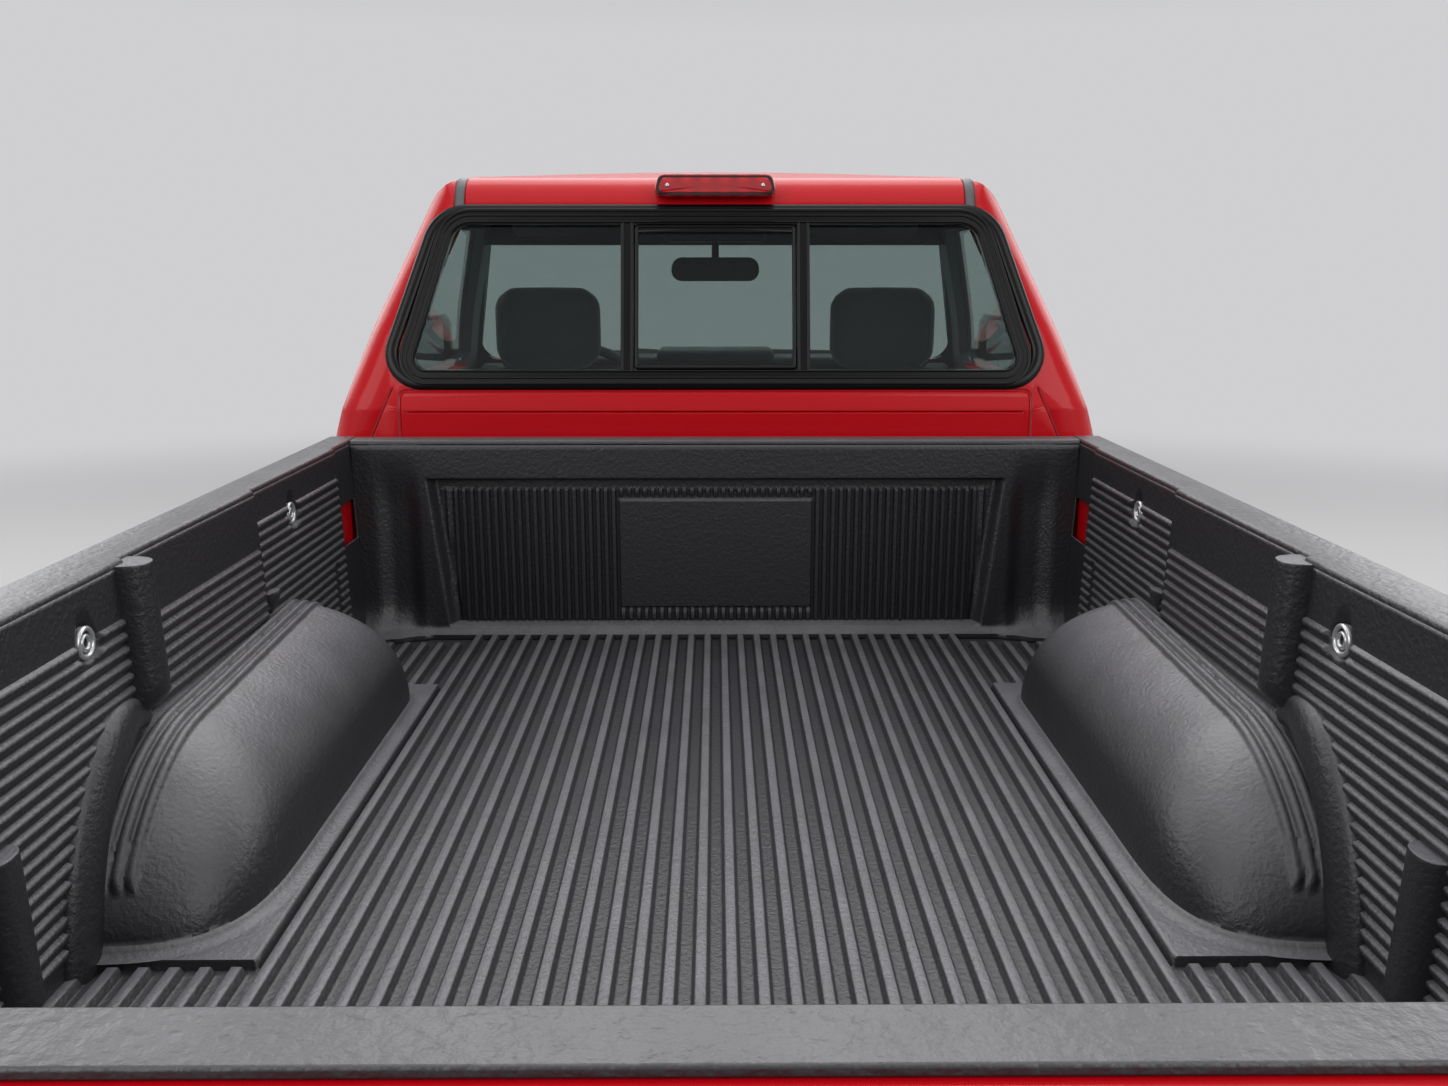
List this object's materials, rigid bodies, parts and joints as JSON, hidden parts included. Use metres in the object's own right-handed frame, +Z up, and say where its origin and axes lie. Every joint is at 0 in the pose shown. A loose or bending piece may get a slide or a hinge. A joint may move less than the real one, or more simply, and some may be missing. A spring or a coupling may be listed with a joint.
{
  "type": "pickup truck",
  "caption": "Compact two-door pickup truck with a ribbed drop-in bed liner, sliding rear window, step bumper, steering front wheels, opening doors, hood and tailgate.",
  "frame": {"origin": "on the ground under the truck's middle: centre of the box's base, on its plane of symmetry", "axes": "+Y to the tail along the truck, +X to the truck's own left, +Z up"},
  "size_m": [1.91, 4.73, 1.5878],
  "materials": {
    "paint": "glossy red paint",
    "liner": "grained black polyethylene",
    "glass": "lightly tinted glass",
    "trim": "satin black trim and rubber",
    "lamp_red": "red lens",
    "lamp_clear": "clear lens",
    "chrome": "bright chrome",
    "frame_black": "black chassis paint",
    "iron": "bare cast iron",
    "steel": "dull steel",
    "alloy": "satin silver wheel",
    "tyre": "black rubber",
    "cloth": "dark grey cloth",
    "dash": "dark grey grained plastic",
    "mirror": "black mirror housing"
  },
  "bodies": {
    "body": {"cab_shell": "paint", "cab_glass": "glass", "rear_window_frame": "trim", "fenders_front": "paint", "nose_panel": "paint", "grille": "trim", "headlamps": "lamp_clear", "front_bumper": "chrome", "engine_bay": "paint", "bed_box": "paint", "bed_liner": "liner", "tail_lamps": "lamp_red", "high_stop_lamp": "lamp_red", "rear_bumper": "chrome", "chassis_frame": "frame_black", "leaf_springs": "steel", "rear_axle": "frame_black", "engine_block": "iron", "exhaust": "steel", "fuel_tank": "frame_black", "front_suspension": "frame_black", "seats": "cloth", "dashboard": "dash", "interior_mirror": "mirror", "spare_wheel": "tyre"},
    "door_left": {"door_left": "paint", "door_glass_left": "glass", "door_mirror_left": "mirror"},
    "knuckle_left": {"knuckle_left": "iron"},
    "door_right": {"door_right": "paint", "door_glass_right": "glass", "door_mirror_right": "mirror"},
    "knuckle_right": {"knuckle_right": "iron"},
    "hood": {"hood": "paint"},
    "tailgate": {"tailgate": "paint", "tailgate_liner": "liner"},
    "steering_wheel": {"steering_wheel": "dash"},
    "wheel_front_left": {"tyre_front_left": "tyre", "rim_front_left": "alloy"},
    "wheel_front_right": {"tyre_front_right": "tyre", "rim_front_right": "alloy"},
    "wheel_rear_left": {"tyre_rear_left": "tyre", "rim_rear_left": "alloy"},
    "wheel_rear_right": {"tyre_rear_right": "tyre", "rim_rear_right": "alloy"}
  },
  "joints": [
    {"name": "door_left_hinge", "type": "hinge", "parent": "body", "child": "door_left", "pos_m": [0.815, -1.07, 0.64], "axis": [0, 0, -1], "range_deg": [0, 65]},
    {"name": "steer_left", "type": "hinge", "parent": "body", "child": "knuckle_left", "pos_m": [0.62, -1.537, 0.335], "axis": [0, 0, 1], "range_deg": [-32, 32]},
    {"name": "door_right_hinge", "type": "hinge", "parent": "body", "child": "door_right", "pos_m": [-0.815, -1.07, 0.64], "axis": [0, 0, 1], "range_deg": [0, 65]},
    {"name": "steer_right", "type": "hinge", "parent": "body", "child": "knuckle_right", "pos_m": [-0.62, -1.537, 0.335], "axis": [0, 0, 1], "range_deg": [-32, 32]},
    {"name": "hood_hinge", "type": "hinge", "parent": "body", "child": "hood", "pos_m": [0, -1.137, 1.04], "axis": [-1, 0, 0], "range_deg": [0, 50]},
    {"name": "tailgate_hinge", "type": "hinge", "parent": "body", "child": "tailgate", "pos_m": [0, 2.237, 0.614], "axis": [-1, 0, 0], "range_deg": [0, 90]},
    {"name": "steering_wheel_turn", "type": "hinge", "parent": "body", "child": "steering_wheel", "pos_m": [0.371, -0.7, 1.006], "axis": [0, 0.891, 0.454], "range_deg": [-480, 480]},
    {"name": "wheel_front_left_spin", "type": "hinge", "parent": "knuckle_left", "child": "wheel_front_left", "pos_m": [0.7, -1.537, 0.335], "axis": [1, 0, 0], "continuous": true},
    {"name": "wheel_front_right_spin", "type": "hinge", "parent": "knuckle_right", "child": "wheel_front_right", "pos_m": [-0.7, -1.537, 0.335], "axis": [1, 0, 0], "continuous": true},
    {"name": "wheel_rear_left_spin", "type": "hinge", "parent": "body", "child": "wheel_rear_left", "pos_m": [0.7, 1.087, 0.335], "axis": [1, 0, 0], "continuous": true},
    {"name": "wheel_rear_right_spin", "type": "hinge", "parent": "body", "child": "wheel_rear_right", "pos_m": [-0.7, 1.087, 0.335], "axis": [1, 0, 0], "continuous": true}
  ],
  "couplings": [
    {"joint": "steer_right", "follows": "steer_left", "ratio": 1},
    {"joint": "steering_wheel_turn", "follows": "steer_left", "ratio": 15}
  ]
}
